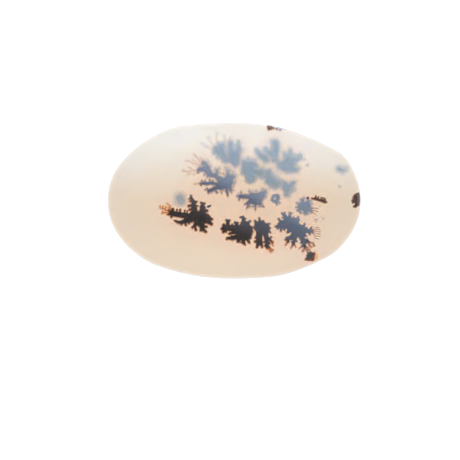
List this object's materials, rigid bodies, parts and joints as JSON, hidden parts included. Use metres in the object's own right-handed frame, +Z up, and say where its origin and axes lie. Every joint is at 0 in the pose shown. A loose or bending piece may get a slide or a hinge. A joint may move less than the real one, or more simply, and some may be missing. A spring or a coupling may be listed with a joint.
{
  "type": "dendritic agate specimen",
  "caption": "Polished oval agate with a low dome and a flat back, milky and translucent, with dark and bluish fern-like mineral dendrites inside.",
  "frame": {"origin": "middle of the flat back that the stone rests on", "axes": "+Z up out of the domed face, X along the stone's length with its blunt ground corner at +X +Y, Y across it"},
  "size_m": [0.032, 0.0198, 0.0052],
  "materials": {
    "agate": "polished, milky translucent, cream to pale peach",
    "dendrite": "matt iron and manganese oxide inside the stone"
  },
  "bodies": {
    "root": {"agate_stone": "agate", "fern_left": "dendrite", "fern_middle": "dendrite", "fern_right": "dendrite", "fern_slate": "dendrite", "fern_upper": "dendrite", "fern_centre": "dendrite", "ringlet": "dendrite", "shield": "dendrite", "plume_left": "dendrite", "plume_right": "dendrite", "cloud_left": "dendrite", "cloud_right": "dendrite", "drop": "dendrite", "feather": "dendrite", "antler": "dendrite", "crown": "dendrite"}
  },
  "joints": []
}
